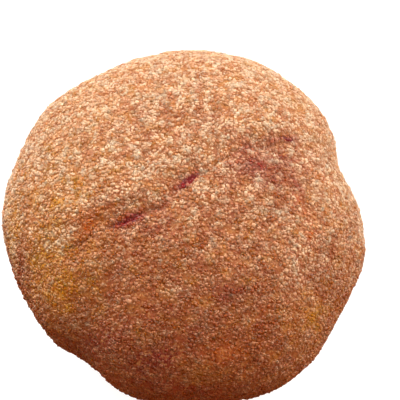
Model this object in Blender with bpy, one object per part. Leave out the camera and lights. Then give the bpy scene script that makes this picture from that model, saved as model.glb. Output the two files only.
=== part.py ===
"""Jelly filled doughnut: one plump round of fried dough with a soft fold across its top.

Metres, +Z up, front at -Y. The origin is on the flat spot that the doughnut rests on,
under the middle of its outline.
"""

import math

import bmesh
import bpy
from mathutils import Vector, noise
from mathutils.geometry import intersect_point_line

NODE_NAME = "doughnut"
COLLECTION_NAME = "jelly_filled_doughnut"

# The plump round.
WIDTH = 0.086
DEPTH = 0.087
HEIGHT = 0.050
WAIST_HEIGHT = 0.022  # height of the widest line
FOOT_TRIM = 0.0012  # what the flat foot takes off the round underside
TOP_FULLNESS = 2.25  # exponent of the side profile: 2 is an ellipse, more is squarer
UNDERSIDE_FULLNESS = 2.4
SQUARES_A_SIDE = 26  # squares along each edge of the cube that the round starts as

# Swells (+) and hollows (-) of the outline: direction and spread in degrees, then metres.
OUTLINE_SWELLS = (
    (15.5, 9.5, -0.0034),
    (60.0, 24.0, 0.0012),
    (103.0, 15.0, -0.0009),
    (123.0, 11.0, -0.0014),
    (162.0, 15.0, -0.0012),
    (208.0, 20.0, -0.0026),
    (237.0, 10.0, -0.0032),
    (303.0, 19.0, 0.0028),
    (345.0, 12.0, 0.0012),
)

# Soft, shallow unevenness of the proved dough.
UNEVEN_HEIGHT = 0.0004
UNEVEN_SPACING = 0.014

# Creases pressed into the top. Each runs through plan points (x, y), left to right.
# The lip is the raised roll of dough along the crease's far side.
CREASES = (
    {
        "name": "long fold",
        "route": (
            (-0.031, -0.017),
            (-0.020, -0.0135),
            (-0.012, -0.0105),
            (-0.004, -0.008),
            (0.001, -0.002),
            (0.012, 0.006),
            (0.024, 0.010),
        ),
        "depth": 0.0008,
        "half_width": 0.0030,
        "lip_height": 0.0005,
        "lip_offset": 0.0060,
    },
    {
        "name": "right hand bow",
        "route": ((0.020, 0.0085), (0.025, 0.001), (0.027, -0.005), (0.028, -0.010)),
        "depth": 0.0005,
        "half_width": 0.0030,
        "lip_height": 0.0002,
        "lip_offset": 0.0060,
    },
    {
        "name": "left front wrinkle",
        "route": ((-0.018, -0.029), (-0.014, -0.022)),
        "depth": 0.0006,
        "half_width": 0.0030,
        "lip_height": 0.0,
        "lip_offset": 0.0060,
    },
    {
        "name": "middle front wrinkle",
        "route": ((-0.002, -0.034), (-0.003, -0.025)),
        "depth": 0.0005,
        "half_width": 0.0030,
        "lip_height": 0.0,
        "lip_offset": 0.0060,
    },
)


def clear_scene():
    for obj in list(bpy.data.objects):
        bpy.data.objects.remove(obj, do_unlink=True)


def unit_ball(bm):
    """A cube cut into even squares and blown out to a ball of radius 1."""
    bmesh.ops.create_cube(bm, size=2.0)
    bmesh.ops.subdivide_edges(
        bm, edges=bm.edges[:], cuts=SQUARES_A_SIDE - 1, use_grid_fill=True
    )
    for vert in bm.verts:
        even = [math.tan(part * math.pi / 4) for part in vert.co]
        vert.co = Vector(even).normalized()


def plump_round(direction):
    """The point of the plain round in this direction from its middle."""
    out = math.hypot(direction.x, direction.y)
    upper = direction.z >= 0.0
    fullness = TOP_FULLNESS if upper else UNDERSIDE_FULLNESS
    half_height = HEIGHT - WAIST_HEIGHT if upper else WAIST_HEIGHT + FOOT_TRIM
    reach = (out**fullness + abs(direction.z) ** fullness) ** (-1.0 / fullness)
    return Vector(
        (
            direction.x * WIDTH / 2 * reach,
            direction.y * DEPTH / 2 * reach,
            direction.z * half_height * reach + WAIST_HEIGHT,
        )
    )


def bell(distance, half_width):
    """1 at the middle, falling smoothly to nothing over about two half widths."""
    return math.exp(-((distance / half_width) ** 2))


def outline_swell(direction):
    """How far the outline moves out here: all of it at the waist, none at the middle."""
    heading = math.degrees(math.atan2(direction.y, direction.x))
    total = 0.0
    for centre, spread, amount in OUTLINE_SWELLS:
        turn = (heading - centre + 180.0) % 360.0 - 180.0
        total += amount * bell(turn, spread)
    return total * (direction.x**2 + direction.y**2)


def signed_distance(place, route):
    """Plan distance to a route of points, positive on its far side (left of its run)."""
    nearest = math.inf
    side = 1.0
    for start, end in zip(route, route[1:]):
        start = Vector(start)
        end = Vector(end)
        foot, share = intersect_point_line(place, start, end)
        foot = start.lerp(end, min(max(share, 0.0), 1.0))
        distance = (place - foot.to_2d()).length
        if distance < nearest:
            nearest = distance
            side = math.copysign(1.0, (end - start).cross(place - start))
    return nearest * side


def crease_relief(point):
    """Height that the creases and their lips add at this point of the top."""
    place = point.to_2d()
    total = 0.0
    for crease in CREASES:
        distance = signed_distance(place, crease["route"])
        total -= crease["depth"] * bell(distance, crease["half_width"])
        from_lip = distance - crease["lip_offset"]
        total += crease["lip_height"] * bell(from_lip, crease["half_width"])
    return total


def doughnut_point(direction):
    """The doughnut's surface in this direction: the round, then all that shapes it."""
    point = plump_round(direction)
    outward = Vector((direction.x, direction.y, 0.0))
    if outward.length > 0.0:
        point += outward.normalized() * outline_swell(direction)
    point += direction * UNEVEN_HEIGHT * noise.noise(point / UNEVEN_SPACING)
    if direction.z > 0.0:
        point.z += crease_relief(point) * min(1.0, 2.0 * direction.z)
    return point


def flatten_foot(bm):
    """Cuts the underside off level at Z = 0 and closes it with the flat foot."""
    bmesh.ops.bisect_plane(
        bm,
        geom=bm.verts[:] + bm.edges[:] + bm.faces[:],
        plane_co=(0.0, 0.0, 0.0),
        plane_no=(0.0, 0.0, 1.0),
        clear_inner=True,
    )
    rim = [edge for edge in bm.edges if edge.is_boundary]
    bmesh.ops.holes_fill(bm, edges=rim)


def centre_in_plan(bm):
    """Moves the middle of the outline over the origin."""
    across = [vert.co.x for vert in bm.verts]
    along = [vert.co.y for vert in bm.verts]
    middle = Vector((min(across) + max(across), min(along) + max(along), 0.0)) / 2
    bmesh.ops.translate(bm, vec=-middle, verts=bm.verts[:])


def fried_crust_material():
    material = bpy.data.materials.new("sugared_fried_crust")
    material.use_nodes = True
    shader = material.node_tree.nodes["Principled BSDF"]
    shader.inputs["Base Color"].default_value = (0.479, 0.188, 0.070, 1.0)
    shader.inputs["Roughness"].default_value = 0.7
    shader.inputs["Metallic"].default_value = 0.0
    return material


def build_doughnut(collection):
    bm = bmesh.new()
    unit_ball(bm)
    for vert in bm.verts:
        vert.co = doughnut_point(vert.co.copy())
    flatten_foot(bm)
    centre_in_plan(bm)
    mesh = bpy.data.meshes.new(NODE_NAME)
    bm.to_mesh(mesh)
    bm.free()
    mesh.shade_smooth()
    mesh.set_sharp_from_angle(angle=math.radians(50.0))
    mesh.materials.append(fried_crust_material())
    doughnut = bpy.data.objects.new(NODE_NAME, mesh)
    collection.objects.link(doughnut)
    return doughnut


def main():
    clear_scene()
    collection = bpy.data.collections.new(COLLECTION_NAME)
    bpy.context.scene.collection.children.link(collection)
    build_doughnut(collection)


main()
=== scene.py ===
import math
import bmesh
import bpy
import numpy as np
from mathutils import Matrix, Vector, noise
from mathutils.bvhtree import BVHTree


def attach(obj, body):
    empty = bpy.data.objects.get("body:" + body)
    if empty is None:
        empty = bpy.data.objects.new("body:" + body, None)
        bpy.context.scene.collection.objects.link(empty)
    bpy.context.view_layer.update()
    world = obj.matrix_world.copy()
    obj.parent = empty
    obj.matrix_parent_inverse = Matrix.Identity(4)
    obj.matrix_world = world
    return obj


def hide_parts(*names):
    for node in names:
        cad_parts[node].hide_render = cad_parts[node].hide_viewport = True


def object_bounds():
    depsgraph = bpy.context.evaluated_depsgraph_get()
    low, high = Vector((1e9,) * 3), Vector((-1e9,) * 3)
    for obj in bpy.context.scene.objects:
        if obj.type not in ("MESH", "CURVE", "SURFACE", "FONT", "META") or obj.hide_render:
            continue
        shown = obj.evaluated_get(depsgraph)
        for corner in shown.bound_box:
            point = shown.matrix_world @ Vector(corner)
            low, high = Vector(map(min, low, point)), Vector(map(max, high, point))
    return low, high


# Looks of a sugared, jelly filled doughnut: a fried skin with a soft fold, jelly that has
# bled into the fold, and a coat of granulated sugar grains. Front is -Y, metres.
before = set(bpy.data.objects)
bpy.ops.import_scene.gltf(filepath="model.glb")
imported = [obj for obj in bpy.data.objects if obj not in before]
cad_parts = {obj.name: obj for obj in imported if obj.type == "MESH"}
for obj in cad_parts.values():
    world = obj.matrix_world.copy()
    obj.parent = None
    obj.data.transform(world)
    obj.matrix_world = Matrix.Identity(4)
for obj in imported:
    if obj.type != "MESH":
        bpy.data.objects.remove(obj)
cadLow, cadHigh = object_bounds()
middle = (np.array(cadLow) + np.array(cadHigh)) / 2
half = (np.array(cadHigh) - np.array(cadLow)) / 2
tall = cadHigh[2] - cadLow[2]
mm = 0.001
noise.seed_set(3)  # without a seed, the wander of edges would differ from run to run
print("frame loaded, half sizes in mm:", [round(float(side) / mm, 1) for side in half])

# Camera and framing. Places are shares of the doughnut's half width, half depth and height.
view = {
    "elevation": 66.0,  # degrees above the floor, looking along +Y
    "distance": 0.268,
    "lens": 100.0,
    "aim": (0.096, 0.117, 0.475),
}

# The fold across the top and the wrinkles beside it, as plan points in shares of the half sizes.
foldRoute = ((-0.72, -0.39), (-0.47, -0.31), (-0.28, -0.24), (-0.09, -0.18), (0.02, -0.05),
             (0.28, 0.14), (0.56, 0.23))
bowRoute = ((0.49, 0.17), (0.58, 0.0), (0.62, -0.10), (0.65, -0.22))

# Where jelly has come through: place, direction in degrees, length and width in mm, strength.
jellySpots = (
    ((0.03, -0.04), 38.0, 3.2, 1.1, 1.5),
    ((-0.26, -0.24), 22.0, 4.6, 1.3, 1.2),
    ((-0.08, -0.16), 30.0, 3.0, 0.9, 0.35),
    ((0.36, 0.07), 20.0, 4.2, 2.8, 0.5),
    ((0.54, 0.25), 8.0, 3.6, 0.8, 0.8),
    ((0.33, 0.17), 40.0, 2.8, 1.3, 0.5),
    ((0.60, -0.02), 115.0, 2.8, 0.9, 0.6),
    ((0.23, -0.58), 20.0, 3.0, 2.0, 0.3),
)
# Amber spots where frying fat has darkened the skin.
amberSpots = (
    ((-0.48, -0.25), 20.0, 3.0, 1.6, 0.9),
    ((0.72, 0.05), 0.0, 1.4, 1.2, 0.8),
    ((0.62, -0.12), 105.0, 4.6, 1.0, 0.7),
    ((0.66, -0.26), 80.0, 2.6, 1.5, 0.7),
    ((0.24, -0.84), 10.0, 6.0, 3.0, 0.5),
)
# Golden patches, where the skin is only lightly browned.
goldSpots = (
    ((-0.70, -0.34), 75.0, 7.0, 4.0, 1.0),
    ((-0.92, -0.20), 90.0, 7.0, 3.0, 0.8),
    ((-0.50, -0.45), 20.0, 9.0, 6.0, 0.5),
    ((-0.66, 0.0), 60.0, 16.0, 9.0, 0.5),
    ((-0.60, -0.52), 100.0, 5.0, 3.6, 0.8),
    ((-0.46, -0.06), 20.0, 8.0, 3.0, 0.5),
    ((0.64, -0.66), 60.0, 5.0, 3.2, 0.8),
    ((0.12, -0.94), 0.0, 5.0, 1.8, 0.8),
)
# Darker, redder patches, most on the front and the rest just in front of the fold: partly the skin's own
# red-brown colour, partly painted shade on the dim near side and under the fold.
brownSpots = (
    ((-0.33, -0.53), 70.0, 4.5, 2.2, 0.5),
    ((-0.36, -0.78), 30.0, 4.0, 2.2, 0.6),
    ((-0.52, -0.78), 20.0, 5.0, 2.2, 0.8),
    ((-0.12, -0.87), 15.0, 5.0, 2.2, 0.9),
    ((0.0, -1.0), 0.0, 12.0, 2.0, 0.9),
    ((0.26, -0.60), 20.0, 4.0, 3.0, 0.35),
    ((-0.86, -0.36), 80.0, 5.0, 1.6, 0.6),
    ((-0.10, -0.27), 20.0, 9.0, 2.4, 0.35),
    ((0.48, 0.08), 20.0, 10.0, 6.0, 0.65),
)
# Darker, browner patches: the one along the fold and the one in front of it by the bow wrinkle are painted
# shade in the creases; the faint one on the top behind the fold is browning.
toastAndFoldShadeSpots = (
    ((-0.40, -0.28), 20.0, 9.0, 4.5, 1.0),
    ((0.50, 0.04), 100.0, 8.0, 6.0, 0.6),
    ((0.12, 0.32), 0.0, 14.0, 7.0, 0.35),
)
# Thicker, whiter sugar.
snowSpots = (
    ((-0.47, -0.14), 25.0, 5.0, 1.2, 0.8),
    ((-0.28, -0.06), 25.0, 6.0, 1.3, 0.9),
    ((-0.58, -0.27), 30.0, 3.6, 2.0, 0.9),
    ((-0.35, 0.14), 0.0, 3.0, 2.0, 0.6),
    ((0.02, 0.08), 20.0, 4.0, 2.0, 0.5),
    ((0.26, 0.28), 0.0, 4.0, 3.0, 0.5),
    ((-0.02, -0.58), 20.0, 3.0, 1.6, 0.5),
    ((0.62, -0.36), 70.0, 8.0, 5.0, 0.6),
)

skin = {
    "squaresASide": 127,  # 0.4 mm squares
    "raysFrom": 0.44,  # share of the height that the skin is measured from
    "smoothing": 40,
    "lumpHeight": 0.28 * mm,
    "lumpSpacing": 7.0 * mm,
    "blisterHeight": 0.20 * mm,
    "blisterSpacing": 2.4 * mm,
    "grainHeight": 0.05 * mm,
    "grainSpacing": 0.9 * mm,
    "slitDepth": 0.55 * mm,
    "slitReach": 0.55 * mm,
    "slitWander": 1.1 * mm,
    "slitWanderSpacing": 5.0 * mm,
    "slitBreakSpacing": 6.0 * mm,  # the slit opens and closes along the fold
    "slitFrom": (0.55, 0.75),  # shares of the height between which the slit fades in
    "footFade": 1.2 * mm,
    "waterline": 0.62,  # share of the height where the two fried sides meet
    "waterlineReach": 0.085,
    "underside": (0.28, 0.52),  # shares of the height between which the darker side fades out
    "topFrom": (0.35, 0.6),  # and between which the top's own spots fade in
}

# Sizes of the mottling, each with the place in the noise that it is taken from.
mottle = {
    "broad": (11.0 * mm, 2.0),
    "fine": (4.0 * mm, 3.0),
    "hue": (2.6 * mm, 15.0),
    "clump": (1.7 * mm, 7.0),
    "smudge": (3.0 * mm, 5.0),
    "fray": (1.1 * mm, 9.0),
}
smudgeReach = 0.9 * mm  # how far the edge of a spot wanders
frayReach = 0.35 * mm


# One function turns an sRGB hex code into the linear colour that Blender's sockets take.
def linearColour(code):
    parts = [int(code[i:i + 2], 16) / 255 for i in (1, 3, 5)]
    return [p / 12.92 if p <= 0.04045 else ((p + 0.055) / 1.055) ** 2.4 for p in parts] + [1.0]


# Adds a node, sets its inputs or its own settings, and links its inputs to other sockets.
def addNode(tree, kind, settings=None, links=None):
    node = tree.nodes.new(kind)
    for name, value in (settings or {}).items():
        if isinstance(name, int) or name in node.inputs:
            node.inputs[name].default_value = value
        else:
            setattr(node, name, value)
    for name, socket in (links or {}).items():
        tree.links.new(socket, node.inputs[name])
    return node


def bell(distance, reach):
    return np.exp(-(distance / reach) ** 2)


def ease(value, low, high):
    share = np.clip((value - low) / (high - low), 0.0, 1.0)
    return share * share * (3 - 2 * share)


def noiseField(points, spacing, shift=0.0):
    offset = Vector((shift, shift * 1.7, shift * 2.3))
    return np.array([noise.noise(Vector(p) / spacing + offset) for p in points])


def noiseWander(points, spacing, shift=0.0):
    offset = Vector((shift, shift * 1.7, shift * 2.3))
    return np.array([noise.noise_vector(Vector(p) / spacing + offset) for p in points])


# Plan distance of each place to a route given in shares of the half sizes.
def routeDistance(places, route):
    corners = np.array(route) * half[:2] + middle[:2]
    nearest = np.full(len(places), 1.0)
    for start, end in zip(corners, corners[1:]):
        run = end - start
        share = np.clip((places - start) @ run / (run @ run), 0.0, 1.0)
        away = np.linalg.norm(places - start - share[:, None] * run, axis=1)
        nearest = np.minimum(nearest, away)
    return nearest


# Sum of soft, stretched spots, at most 1.
def spotMask(places, spots):
    total = np.zeros(len(places))
    for at, turn, length, width, strength in spots:
        offset = places - (np.array(at) * half[:2] + middle[:2])
        heading = np.array((math.cos(math.radians(turn)), math.sin(math.radians(turn))))
        along = offset @ heading
        across = offset @ np.array((-heading[1], heading[0]))
        total += strength * bell(along, length * mm) * bell(across, width * mm)
    return np.minimum(total, 1.0)


maskNames = ("jelly", "amber", "gold", "brown", "pale", "under", "toastAndShade", "snow")


# What the skin is like at each point, each from 0 to 1. Sugar takes its tint from the same masks. Several
# masks also carry painted shade on the near side and in the fold's creases.
def skinMasks(points):
    height = (points[:, 2] - cadLow[2]) / tall
    top = ease(height, *skin["topFrom"])
    wander = noiseWander(points, *mottle["smudge"])[:, :2] * smudgeReach
    wander += noiseWander(points, *mottle["fray"])[:, :2] * frayReach
    places = points[:, :2] + wander
    broad = noiseField(points, *mottle["broad"])
    fine = noiseField(points, *mottle["fine"])
    clump = noiseField(points, *mottle["clump"])
    hue = noiseField(points, *mottle["hue"])
    ring = bell(height - skin["waterline"] - 0.05 * broad, skin["waterlineReach"]) * (0.7 + 0.6 * fine)
    outward = (points[:, :2] - middle[:2]) / half[:2]
    # front and frontLeft paint shade on the near side, which the back lamps leave dim: the masks below make
    # it browner and darker.
    front = ease(-outward[:, 1], -0.25, 0.65)
    frontLeft = ease(-0.6 * outward[:, 0] - 0.8 * outward[:, 1], 0.2, 0.8)
    # frontLeft lowers this height, so the darker underside tint climbs higher on the near left: painted
    # shade there, over the real browned bottom.
    unevenShadedHeight = height + 0.05 * broad + 0.03 * fine - 0.18 * frontLeft
    # These patches paint shade in the fold's creases, except the faint one behind the fold, which is
    # browning.
    toastedAndFoldShade = spotMask(places, toastAndFoldShadeSpots) * top
    goldVeil = 0.7 * np.maximum(hue, 0.0)
    # The front term of brownVeil and all of the edge term paint shade: the near side and its rim come out
    # darker and redder.
    brownVeil = 0.3 * np.maximum(broad, 0.0) * front + 0.35 * np.maximum(-hue, 0.0) * top
    frontEdgeShade = 0.3 * ease(-outward[:, 1], 0.55, 0.9)
    # The front term here is painted shade on the near side. The rest is browning that varies over the skin.
    toastAndShade = 0.1 + 0.2 * ease(height, 0.78, 1.0) + 0.85 * front + 0.3 * broad + 0.35 * fine
    # Whiter sugar is kept off the front and off the darker fold patches: painted shade on the near side and
    # in the creases.
    cleanAndUnshaded = (1.0 - 0.8 * front) * (1.0 - 0.7 * toastedAndFoldShade) * top
    masks = {
        "jelly": spotMask(places, jellySpots) * top,
        "amber": spotMask(places, amberSpots) * top,
        "gold": spotMask(places, goldSpots) * top * (0.8 + 0.8 * fine) + goldVeil * top,
        "brown": spotMask(places, brownSpots) * top + brownVeil + frontEdgeShade * top,
        "pale": ring,
        "under": 1.0 - ease(unevenShadedHeight, *skin["underside"]),
        "toastAndShade": toastAndShade + toastedAndFoldShade,
        "snow": (0.25 + 2.3 * clump + 0.8 * fine) * cleanAndUnshaded + spotMask(places, snowSpots),
    }
    return {name: np.clip(mask, 0.0, 1.0) for name, mask in masks.items()}


def setAttribute(mesh, name, values):
    layer = mesh.attributes.new(name, "FLOAT", "POINT")
    layer.data.foreach_set("value", values.astype(np.float32))


def meshPoints(mesh):
    co = np.empty(len(mesh.vertices) * 3)
    mesh.vertices.foreach_get("co", co)
    return co.reshape(-1, 3)


def meshNormals(mesh):
    normals = np.empty(len(mesh.vertices) * 3)
    mesh.vertex_normals.foreach_get("vector", normals)
    return normals.reshape(-1, 3)


def placePoints(mesh, points):
    mesh.vertices.foreach_set("co", points.astype(np.float32).ravel())
    mesh.update()


def addPiece(mesh, name, material):
    piece = bpy.data.objects.new(name, mesh)
    bpy.context.scene.collection.objects.link(piece)
    mesh.materials.append(material)
    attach(piece, "root")
    return piece


# A cube cut into even squares and blown out to a ball: the skin's net of directions.
def ballMesh(name, squares):
    bm = bmesh.new()
    bmesh.ops.create_cube(bm, size=2.0)
    bmesh.ops.subdivide_edges(bm, edges=bm.edges[:], cuts=squares - 1, use_grid_fill=True)
    mesh = bpy.data.meshes.new(name)
    bm.to_mesh(mesh)
    bm.free()
    even = np.tan(meshPoints(mesh) * math.pi / 4)
    placePoints(mesh, even / np.linalg.norm(even, axis=1)[:, None])
    return mesh


# Moves every point towards its neighbours' mean, which takes the flats off the CAD's faces.
def smoothPoints(mesh, points, rounds):
    ends = np.empty(len(mesh.edges) * 2, np.int64)
    mesh.edges.foreach_get("vertices", ends)
    first = np.concatenate((ends[0::2], ends[1::2]))
    second = np.concatenate((ends[1::2], ends[0::2]))
    count = np.bincount(first, minlength=len(points))
    for _ in range(rounds):
        sums = [np.bincount(first, points[second, i], len(points)) for i in range(3)]
        points = 0.5 * points + 0.5 * np.stack(sums, axis=1) / count[:, None]
    return points


# The skin laid over the CAD solid, before its own fine relief.
def layOnSolid(mesh):
    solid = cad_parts["doughnut"].data
    corners = [v.co for v in solid.vertices]
    tree = BVHTree.FromPolygons(corners, [p.vertices for p in solid.polygons])
    start = Vector((middle[0], middle[1], cadLow[2] + tall * skin["raysFrom"]))
    hits = [tree.ray_cast(start, Vector(way))[0] for way in meshPoints(mesh)]
    points = smoothPoints(mesh, np.array(hits), skin["smoothing"])
    placePoints(mesh, points)
    return points


# Height added to the skin along its normals: lumps of the dough, frying blisters, the fold's slit.
def skinRelief(points):
    relief = skin["lumpHeight"] * noiseField(points, skin["lumpSpacing"], 1.0)
    relief += skin["blisterHeight"] * noiseField(points, skin["blisterSpacing"], 4.0)
    relief += skin["grainHeight"] * noiseField(points, skin["grainSpacing"], 6.0)
    wander = noiseWander(points, skin["slitWanderSpacing"], 8.0)[:, :2] * skin["slitWander"]
    places = points[:, :2] + wander
    low, high = skin["slitFrom"]
    upper = ease(points[:, 2], cadLow[2] + low * tall, cadLow[2] + high * tall)
    broken = np.clip(0.6 + 1.1 * noiseField(points, skin["slitBreakSpacing"], 12.0), 0.15, 1.0)
    slit = bell(routeDistance(places, foldRoute), skin["slitReach"]) * broken
    slit += 0.5 * bell(routeDistance(places, bowRoute), skin["slitReach"]) * broken
    relief -= skin["slitDepth"] * slit * upper
    aboveFoot = ease(points[:, 2], cadLow[2], cadLow[2] + skin["footFade"])
    return relief * aboveFoot


crust = {
    "base": "#ae7440",
    "patch": "#985a2a",
    "fleck": "#96501f",
    "crumb": "#d8a870",
    "burntCrumb": "#8a4016",
    "jellyStain": "#5e0a10",
    "patchSize": 9.0 * mm,
    "fleckSize": 2.2 * mm,
    "crumbSize": 0.45 * mm,
    "crumbHeight": 0.16 * mm,
    "roughness": 0.42,
    "roughnessSpread": 0.25,
    # Colour of each mask, laid on in this order.
    "tints": {
        "pale": "#c8965a",
        "toastAndShade": "#8c4616",
        "gold": "#bd8426",
        "brown": "#741c14",
        "under": "#8e3a18",
        "amber": "#b85a10",
    },
}


# Fried yeast dough: bread skin browned in oil. The eye sees golden brown mottled with red brown,
# a paler band where the two fried sides meet, a satin film of fat and darker, redder underside.
# The near side and the fold's creases are made darker and browner as painted shade.
def friedDoughMaterial():
    material = bpy.data.materials.new("friedDough")
    material.use_nodes = True
    tree = material.node_tree
    shader = tree.nodes["Principled BSDF"]
    at = addNode(tree, "ShaderNodeTexCoord").outputs["Object"]
    masks = {name: addNode(tree, "ShaderNodeAttribute", {"attribute_name": name}).outputs["Fac"]
             for name in maskNames}
    # Browning comes in patches and flecks, with crumbs of melted sugar between the grains.
    patchScale = {"Scale": 1 / crust["patchSize"], "Detail": 3.0}
    fleckScale = {"Scale": 1 / crust["fleckSize"], "Detail": 3.0}
    patches = addNode(tree, "ShaderNodeTexNoise", patchScale, {"Vector": at})
    flecks = addNode(tree, "ShaderNodeTexNoise", fleckScale, {"Vector": at})
    crumbs = addNode(tree, "ShaderNodeTexVoronoi", {"Scale": 1 / crust["crumbSize"]}, {"Vector": at})
    crumbTint = addNode(tree, "ShaderNodeSeparateColor", None, {"Color": crumbs.outputs["Color"]})

    def blend(base, code, share):
        return addNode(tree, "ShaderNodeMix", {"data_type": "RGBA", 7: linearColour(code)},
                       {0: share, 6: base}).outputs[2]

    def steps(socket, low, high, most=1.0):
        return addNode(tree, "ShaderNodeMapRange", {"From Min": low, "From Max": high, "To Max": most},
                       {"Value": socket}).outputs["Result"]

    colour = addNode(tree, "ShaderNodeRGB").outputs["Color"]
    colour.default_value = linearColour(crust["base"])
    colour = blend(colour, crust["patch"], steps(patches.outputs["Fac"], 0.45, 0.65, 0.8))
    for name, code in crust["tints"].items():
        colour = blend(colour, code, masks[name])
    colour = blend(colour, crust["fleck"], steps(flecks.outputs["Fac"], 0.5, 0.72, 0.7))
    colour = blend(colour, crust["crumb"], steps(crumbTint.outputs["Red"], 0.55, 1.0, 0.5))
    colour = blend(colour, crust["burntCrumb"], steps(crumbTint.outputs["Green"], 0.6, 1.0, 0.5))
    colour = blend(colour, crust["jellyStain"], masks["jelly"])
    tree.links.new(colour, shader.inputs["Base Color"])
    dullness = steps(flecks.outputs["Fac"], 0.3, 0.7, crust["roughnessSpread"])
    rough = addNode(tree, "ShaderNodeMath", {"operation": "ADD", 1: crust["roughness"]}, {0: dullness})
    tree.links.new(rough.outputs[0], shader.inputs["Roughness"])
    bump = addNode(tree, "ShaderNodeBump",
                   {"Strength": 0.6, "Distance": crust["crumbHeight"], "invert": True},
                   {"Height": crumbs.outputs["Distance"]})
    tree.links.new(bump.outputs["Normal"], shader.inputs["Normal"])
    shader.inputs["IOR"].default_value = 1.47  # frying oil on the skin
    shader.inputs["Subsurface Weight"].default_value = 0.4  # light goes 1 mm or so into the crumb
    shader.inputs["Subsurface Radius"].default_value = (1.0, 0.7, 0.5)
    shader.inputs["Subsurface Scale"].default_value = 1.2 * mm
    return material


def makeSkin():
    mesh = ballMesh("friedSkin", skin["squaresASide"])
    points = layOnSolid(mesh)
    points = points + meshNormals(mesh) * skinRelief(points)[:, None]
    points[:, 2] = np.maximum(points[:, 2], cadLow[2])
    placePoints(mesh, points)
    mesh.shade_smooth()
    for name, values in skinMasks(points).items():
        setAttribute(mesh, name, values)
    piece = addPiece(mesh, "friedSkin", friedDoughMaterial())
    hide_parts("doughnut")
    print("skin made:", len(mesh.polygons), "squares")
    return piece


# Sugar grains. Real granulated sugar runs from 0.3 to 0.9 mm; sizes are edge lengths in mm.
# Most grains are worn cubes, and the crushed ones are broken chips.
sugarKinds = (
    {"name": "coarseSugar", "count": 16000, "size": (0.54, 0.80), "isCube": True, "seed": 11},
    {"name": "mediumSugar", "count": 16400, "size": (0.44, 0.62), "isCube": True, "seed": 12},
    {"name": "fineSugar", "count": 16400, "size": (0.34, 0.52), "isCube": True, "seed": 13},
    {"name": "crushedSugar", "count": 24600, "size": (0.34, 0.54), "isCube": False, "seed": 14},
)
sugarLook = {
    "tilt": 0.25,  # how far a grain leans from lying flat on the skin
    "width": (0.7, 1.0),  # shares of a grain's length
    "flatness": (0.45, 0.8),
    "sunk": (0.25, 0.65),  # share of a grain's height that is pressed into the skin
    "frontSink": 0.22,  # how much deeper grains lie towards the front, which darkens them through the root tint: painted shade on the near side
    "bent": 0.09,  # how far corners stray from a true cube, as a share of the edge
    "cellInset": 0.05,  # rim left free round a grain's cell in the bake map
}


# One grain of edge 1: a cube, or a broken chip with eight sides.
def grainShape(isCube):
    bm = bmesh.new()
    if isCube:
        bmesh.ops.create_cube(bm, size=1.0)
    else:
        bmesh.ops.create_uvsphere(bm, u_segments=4, v_segments=2, radius=0.5)
    bm.verts.ensure_lookup_table()
    bm.verts.index_update()
    corners = np.array([v.co for v in bm.verts])
    faces = [[v.index for v in face.verts] for face in bm.faces]
    bm.free()
    return corners, faces


# Random places on the skin, more where the coat is thick, with the normal there.
def scatter(rng, count, points, normals, squares, weight):
    chosen = rng.choice(len(squares), size=count, p=weight / weight.sum())
    across, along = rng.random((2, count, 1))
    corner = squares[chosen]

    def inside(values):
        near = values[corner[:, 0]] * (1 - across) + values[corner[:, 1]] * across
        far = values[corner[:, 3]] * (1 - across) + values[corner[:, 2]] * across
        return near * (1 - along) + far * along

    facing = inside(normals)
    return inside(points), facing / np.linalg.norm(facing, axis=1)[:, None]


# One mesh that holds every grain of a kind.
def grainMesh(name, corners, faces, grains):
    sides = np.array([len(face) for face in faces])
    mesh = bpy.data.meshes.new(name)
    count = len(grains)
    mesh.vertices.add(count * len(corners))
    mesh.loops.add(count * int(sides.sum()))
    mesh.polygons.add(count * len(faces))
    mesh.vertices.foreach_set("co", grains.astype(np.float32).ravel())
    loops = np.concatenate([np.array(face) for face in faces])
    loops = (loops + np.arange(count)[:, None] * len(corners)).ravel()
    starts = np.concatenate(([0], np.cumsum(sides)[:-1]))
    starts = (starts + np.arange(count)[:, None] * sides.sum()).ravel()
    mesh.loops.foreach_set("vertex_index", loops.astype(np.int32))
    mesh.polygons.foreach_set("loop_start", starts.astype(np.int32))
    mesh.update(calc_edges=True)
    mesh.validate()
    return mesh


# Where each corner of a grain's faces lies in its cell: six squares in two rows, or four
# squares that each hold two triangles.
def cellPlaces(faces):
    isSquare = len(faces[0]) == 4
    across = 3 if isSquare else 2
    halves = (((0, 0), (1, 0), (0, 1)), ((1, 1), (0, 1), (1, 0)))
    places = []
    for k in range(len(faces)):
        spot = k if isSquare else k // 2
        corners = ((0, 0), (1, 0), (1, 1), (0, 1)) if isSquare else halves[k % 2]
        places += [((spot % across + x) / across, (spot // across + y) / 2) for x, y in corners]
    return np.array(places)


# The map that colours are baked through, one cell a grain. Neighbours on the doughnut are
# neighbours in the map, so a cell's rim can only pick up a colour from close by.
def addBakeMap(mesh, at, faces):
    toward = at - middle
    fromTop = np.arctan2(np.linalg.norm(toward[:, :2], axis=1), toward[:, 2])
    turn = np.arctan2(toward[:, 1], toward[:, 0])
    flat = fromTop[:, None] * np.stack((np.cos(turn), np.sin(turn)), axis=1)
    side = math.ceil(math.sqrt(len(at)))
    byColumn = np.argsort(flat[:, 0], kind="stable")
    cells = np.empty((len(at), 2))
    for column in range(side):
        members = byColumn[column * side:(column + 1) * side]
        members = members[np.argsort(flat[members, 1], kind="stable")]
        cells[members, 0] = column
        cells[members, 1] = np.arange(len(members))
    inset = sugarLook["cellInset"]
    spots = inset + (1 - 2 * inset) * cellPlaces(faces)
    layer = mesh.uv_layers.new(name="OFBake")
    layer.data.foreach_set("uv", ((cells[:, None, :] + spots) / side).astype(np.float32).ravel())


# From 0 to 1 towards the front. Grains there lie deeper and so take more of the darker root tint: painted
# shade on the near side, which the back lamps leave dim.
def frontSinkShare(points):
    outward = (points[:, :2] - middle[:2]) / half[:2]
    return ease(-outward[:, 1], 0.35, 0.9)


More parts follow.
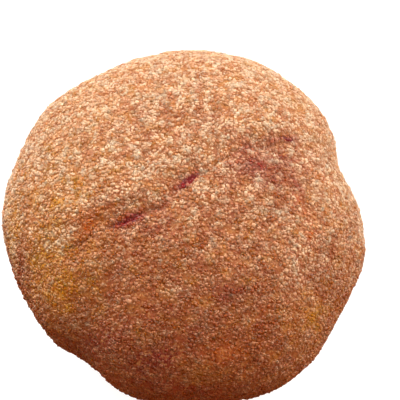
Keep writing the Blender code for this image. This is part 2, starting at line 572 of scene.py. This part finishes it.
def makeSugar(kind, points, normals, squares, weight, material):
    rng = np.random.default_rng(kind["seed"])
    count = kind["count"]
    corners, faces = grainShape(kind["isCube"])
    at, up = scatter(rng, count, points, normals, squares, weight)
    axisZ = up + sugarLook["tilt"] * rng.normal(size=(count, 3))
    axisZ /= np.linalg.norm(axisZ, axis=1)[:, None]
    axisX = np.cross(axisZ, rng.normal(size=(count, 3)))
    axisX /= np.linalg.norm(axisX, axis=1)[:, None]
    axisY = np.cross(axisZ, axisX)
    low, high = kind["size"]
    length = rng.uniform(low, high, count) * mm
    sides = length[:, None] * np.stack((np.ones(count), rng.uniform(*sugarLook["width"], count),
                                        rng.uniform(*sugarLook["flatness"], count)), axis=1)
    masks = skinMasks(at)
    sunk = rng.uniform(*sugarLook["sunk"], count) + sugarLook["frontSink"] * frontSinkShare(at)
    centre = at + up * ((0.5 - sunk) * sides[:, 2])[:, None]
    bent = 1 + sugarLook["bent"] * rng.normal(size=(count, len(corners), 3))
    local = corners[None] * sides[:, None, :] * bent
    axes = np.stack((axisX, axisY, axisZ), axis=1)
    grains = centre[:, None, :] + np.einsum("nki,nij->nkj", local, axes)
    grains[..., 2] = np.maximum(grains[..., 2], cadLow[2])
    mesh = grainMesh(kind["name"], corners, faces, grains)
    addBakeMap(mesh, at, faces)
    for name in maskNames:
        setAttribute(mesh, name, np.repeat(masks[name], len(corners)))
    rise = np.einsum("nkj,nj->nk", grains - at[:, None, :], up) / sides[:, 2:3]
    setAttribute(mesh, "buried", 1.0 - np.clip(rise, 0.0, 1.0).ravel())
    piece = addPiece(mesh, kind["name"], material)
    print(kind["name"], "made:", count, "grains")
    return piece


sugarColour = {
    "ramp": {0.0: "#c08a5c", 0.4: "#d6a47c", 0.8: "#e6bc98", 1.0: "#f8dec2"},
    "root": "#d8ac80",  # the half of a grain that is stuck in the skin
    "roughness": (0.1, 0.5),
    # Each mask's tint, laid on in this order: colour, and the shares that the thirstiest
    # and the cleanest grains take of it.
    "tints": {
        "pale": ("#e8bc9e", 0.9, 0.6),
        "toastAndShade": ("#964e08", 1.0, 0.72),
        "gold": ("#c08610", 1.0, 0.6),
        "brown": ("#7c1e16", 1.0, 0.6),
        "under": ("#8a3e0a", 1.0, 0.78),
        "snow": ("#f6dabc", 0.6, 0.8),
        "amber": ("#c0680e", 0.9, 0.6),
        "jelly": ("#8c1620", 1.0, 0.8),
    },
}


# Granulated sugar: clear crystals with flat, shiny faces, tinted where frying fat or jelly has
# soaked in. The eye sees pale sparkling grit over brown. On the near side and by the fold's creases
# the grains take browner tints as painted shade.
def sugarMaterial():
    material = bpy.data.materials.new("granulatedSugar")
    material.use_nodes = True
    tree = material.node_tree
    shader = tree.nodes["Principled BSDF"]
    grain = addNode(tree, "ShaderNodeNewGeometry").outputs["Random Per Island"]
    masks = {name: addNode(tree, "ShaderNodeAttribute", {"attribute_name": name}).outputs["Fac"]
             for name in maskNames}
    tints = addNode(tree, "ShaderNodeValToRGB", None, {"Fac": grain})
    ramp = tints.color_ramp
    ramp.elements.remove(ramp.elements[1])
    for place, code in sugarColour["ramp"].items():
        stop = ramp.elements.new(place) if place else ramp.elements[0]
        stop.color = linearColour(code)

    # A tint takes most of one grain and less of another that stays cleaner.
    def blend(base, code, share, most, least):
        takes = {"To Min": most, "To Max": least}
        thirst = addNode(tree, "ShaderNodeMapRange", takes, {"Value": grain})
        part = addNode(tree, "ShaderNodeMath", {"operation": "MULTIPLY"},
                       {0: share, 1: thirst.outputs["Result"]}).outputs[0]
        return addNode(tree, "ShaderNodeMix", {"data_type": "RGBA", 7: linearColour(code)},
                       {0: part, 6: base}).outputs[2]

    colour = tints.outputs["Color"]
    for name, (code, most, least) in sugarColour["tints"].items():
        colour = blend(colour, code, masks[name], most, least)
    # The part of each grain near the skin takes the darker root tint; grains sunk deeper on the front take
    # more of it, painted shade on the near side.
    buried = addNode(tree, "ShaderNodeAttribute", {"attribute_name": "buried"}).outputs["Fac"]
    rootTint = {"data_type": "RGBA", "blend_type": "MULTIPLY", 7: linearColour(sugarColour["root"])}
    rootTinted = addNode(tree, "ShaderNodeMix", rootTint, {0: buried, 6: colour})
    tree.links.new(rootTinted.outputs[2], shader.inputs["Base Color"])
    smooth, dull = sugarColour["roughness"]
    rough = addNode(tree, "ShaderNodeMapRange", {"To Min": smooth, "To Max": dull}, {"Value": grain})
    tree.links.new(rough.outputs["Result"], shader.inputs["Roughness"])
    shader.inputs["IOR"].default_value = 1.54  # sucrose
    shader.inputs["Specular IOR Level"].default_value = 0.35  # a film of fat dulls the faces
    shader.inputs["Subsurface Weight"].default_value = 0.9  # light crosses a whole grain
    shader.inputs["Subsurface Radius"].default_value = (1.0, 0.92, 0.85)
    shader.inputs["Subsurface Scale"].default_value = 0.7 * mm
    return material


jelly = {
    "edge": 0.42,  # the jelly mask's value at a smear's rim
    "cuts": 2,  # each square of the skin under a smear is cut in three
    "thickness": 0.35 * mm,
    "rise": 0.10 * mm,
    "rimSunk": 0.10 * mm,
    "ripple": 0.10 * mm,
    "rippleSpacing": 0.8 * mm,
    "thick": "#420507",
    "thin": "#7c0e12",
    "cloudSize": 1.2 * mm,
    "roughness": 0.14,
}


# Red fruit jelly: pectin gel, clear and deep red, set with a wet, shiny face.
def jellyMaterial():
    material = bpy.data.materials.new("redFruitJelly")
    material.use_nodes = True
    tree = material.node_tree
    shader = tree.nodes["Principled BSDF"]
    at = addNode(tree, "ShaderNodeTexCoord").outputs["Object"]
    cloudScale = {"Scale": 1 / jelly["cloudSize"], "Detail": 2.0}
    depth = addNode(tree, "ShaderNodeTexNoise", cloudScale, {"Vector": at})
    reds = {"data_type": "RGBA", 6: linearColour(jelly["thick"]), 7: linearColour(jelly["thin"])}
    reds = addNode(tree, "ShaderNodeMix", reds, {0: depth.outputs["Fac"]})
    tree.links.new(reds.outputs[2], shader.inputs["Base Color"])
    shader.inputs["Roughness"].default_value = jelly["roughness"]
    shader.inputs["IOR"].default_value = 1.42  # strong sugar syrup
    return material


# Takes away the corners where the jelly mask is weaker than this.
def cutAway(bm, least):
    bm.verts.ensure_lookup_table()
    strength = skinMasks(np.array([v.co for v in bm.verts]))["jelly"]
    bare = [v for v, value in zip(bm.verts, strength) if value < least]
    bmesh.ops.delete(bm, geom=bare, context="VERTS")


# A thin closed smear over each place where the jelly mask is strong.
def makeJelly(skinPiece):
    bm = bmesh.new()
    bm.from_mesh(skinPiece.data)
    cutAway(bm, 0.5 * jelly["edge"])
    bmesh.ops.subdivide_edges(bm, edges=bm.edges[:], cuts=jelly["cuts"], use_grid_fill=True)
    cutAway(bm, jelly["edge"])
    bmesh.ops.delete(bm, geom=[v for v in bm.verts if not v.link_faces], context="VERTS")
    bm.normal_update()
    points = np.array([v.co for v in bm.verts])
    normals = np.array([v.normal for v in bm.verts])
    full = ease(skinMasks(points)["jelly"], jelly["edge"], min(1.0, jelly["edge"] + 0.4))
    lift = (jelly["rise"] + jelly["rimSunk"]) * full - jelly["rimSunk"]
    lift += jelly["ripple"] * full * noiseField(points, jelly["rippleSpacing"], 30.0)
    for vertex, place in zip(bm.verts, points + normals * lift[:, None]):
        vertex.co = place
    bmesh.ops.solidify(bm, geom=bm.faces[:], thickness=jelly["thickness"])
    bmesh.ops.recalc_face_normals(bm, faces=bm.faces[:])
    mesh = bpy.data.meshes.new("jellySmear")
    bm.to_mesh(mesh)
    bm.free()
    mesh.attributes.remove(mesh.attributes["jelly"])
    mesh.shade_smooth()
    addPiece(mesh, "jellySmear", jellyMaterial())
    print("jelly made:", len(mesh.polygons), "faces")


coatLook = {
    "clumpSpacing": 3.5 * mm,
    "clumpContrast": 0.9,
    "underside": 0.16,  # share of the top's sugar that the underside holds
    "fullFrom": (0.12, 0.6),  # shares of the height between which the coat thickens
    "lostToJelly": 0.35,
    "lostToBrown": 0.3,
    "footFade": 0.03,
}


# Share of the sugar coat that each square of the skin carries.
def coatWeight(points, squares):
    corners = points[squares]
    span = np.cross(corners[:, 2] - corners[:, 0], corners[:, 3] - corners[:, 1])
    area = np.linalg.norm(span, axis=1) / 2
    centres = corners.mean(axis=1)
    masks = skinMasks(centres)
    height = (centres[:, 2] - cadLow[2]) / tall
    uneven = coatLook["clumpContrast"] * noiseField(centres, coatLook["clumpSpacing"], 20.0)
    clumps = np.clip(1.0 + uneven, 0.5, 1.8)
    least = coatLook["underside"]
    coat = (least + (1.0 - least) * ease(height, *coatLook["fullFrom"])) * clumps
    coat *= 1.0 - coatLook["lostToJelly"] * masks["jelly"]
    coat *= 1.0 - coatLook["lostToBrown"] * masks["brown"]
    coat *= ease(height, 0.0, coatLook["footFade"])
    return area * coat


studio = {
    "paper": "#a8a8a8",
    "glow": 0.8,  # keeps the backdrop white without lighting the doughnut
    "floorSize": 8.0,
    "domeRadius": 3.9,
    "airAbove": "#fff6ee",
    "airBelow": "#84481c",  # stands in for warm light thrown back by the table
    "airPower": 0.5,
    "brightSide": (0.0, 0.7, 0.7),
}

# Soft round lamps, aimed at the doughnut: place and size in metres, power in watts.
lamps = (
    {"name": "backLeftLight", "place": (-0.65, 0.60, 0.62), "size": 1.1, "power": 17.0, "colour": "#fff4ec"},
    {"name": "backRightLight", "place": (0.85, 0.36, 0.55), "size": 1.1, "power": 14.0, "colour": "#fff4ec"},
    {"name": "overheadFill", "place": (0.1, -0.3, 1.1), "size": 1.2, "power": 4.0, "colour": "#ffe8d0"},
    {"name": "frontFill", "place": (0.15, -1.0, 0.45), "size": 1.2, "power": 3.9, "colour": "#ffb56e"},
)


def makeStage():
    paper = bpy.data.materials.new("whitePaper")
    paper.use_nodes = True
    shader = paper.node_tree.nodes["Principled BSDF"]
    shader.inputs["Base Color"].default_value = linearColour(studio["paper"])
    shader.inputs["Roughness"].default_value = 0.9
    shader.inputs["Emission Color"].default_value = (1.0, 1.0, 1.0, 1.0)
    shader.inputs["Emission Strength"].default_value = studio["glow"]
    under = (middle[0], middle[1], cadLow[2])
    bpy.ops.mesh.primitive_plane_add(size=studio["floorSize"], location=under)
    floor = bpy.context.object
    floor.name = "studioFloor"
    bpy.ops.mesh.primitive_uv_sphere_add(radius=studio["domeRadius"], location=under)
    dome = bpy.context.object
    dome.name = "studioDome"
    dome.visible_shadow = False
    for piece in (floor, dome):  # their white bounce would light the underside
        piece.visible_diffuse = False
        piece.visible_glossy = False
        piece.visible_transmission = False
        piece.data.materials.append(paper)
    print("stage made: floor and dome")


def addLight(lamp):
    light = bpy.data.lights.new(lamp["name"], "AREA")
    light.shape = "DISK"
    light.size = lamp["size"]
    light.energy = lamp["power"]
    light.color = linearColour(lamp["colour"])[:3]
    holder = bpy.data.objects.new(lamp["name"], light)
    bpy.context.scene.collection.objects.link(holder)
    holder.location = lamp["place"]
    aim = Vector(middle) - holder.location
    holder.rotation_euler = aim.to_track_quat("-Z", "Y").to_euler()


def makeLights():
    for lamp in lamps:
        addLight(lamp)
    world = bpy.data.worlds.new("studioAir")
    bpy.context.scene.world = world
    world.use_nodes = True
    tree = world.node_tree
    way = addNode(tree, "ShaderNodeTexCoord").outputs["Generated"]
    toBright = {"operation": "DOT_PRODUCT", 1: studio["brightSide"]}
    brightSide = addNode(tree, "ShaderNodeVectorMath", toBright, {0: way})
    sky = addNode(tree, "ShaderNodeMapRange", {"From Min": -0.8, "From Max": 0.9},
                  {"Value": brightSide.outputs["Value"]})
    below, above = linearColour(studio["airBelow"]), linearColour(studio["airAbove"])
    tints = addNode(tree, "ShaderNodeMix", {"data_type": "RGBA", 6: below, 7: above},
                    {0: sky.outputs["Result"]})
    air = tree.nodes["Background"]
    tree.links.new(tints.outputs[2], air.inputs["Color"])
    air.inputs["Strength"].default_value = studio["airPower"]
    print("lights made:", len(lamps))


def makeCamera():
    camera = bpy.data.objects.new("camera", bpy.data.cameras.new("camera"))
    bpy.context.scene.collection.objects.link(camera)
    rise = math.radians(view["elevation"])
    aim = Vector(middle + np.array(view["aim"]) * np.array((half[0], half[1], 0.0)))
    aim.z = cadLow[2] + view["aim"][2] * tall
    camera.location = aim + view["distance"] * Vector((0.0, -math.cos(rise), math.sin(rise)))
    camera.rotation_euler = (math.pi / 2 - rise, 0.0, 0.0)
    camera.data.lens = view["lens"]
    bpy.context.scene.camera = camera
    print("camera placed")


skinPiece = makeSkin()
skinPoints = meshPoints(skinPiece.data)
skinNormals = meshNormals(skinPiece.data)
skinSquares = np.array([p.vertices for p in skinPiece.data.polygons])
coat = coatWeight(skinPoints, skinSquares)
sugar = sugarMaterial()
for kind in sugarKinds:
    makeSugar(kind, skinPoints, skinNormals, skinSquares, coat, sugar)
makeJelly(skinPiece)
makeStage()
makeLights()
makeCamera()
bpy.context.scene.view_settings.view_transform = "Standard"
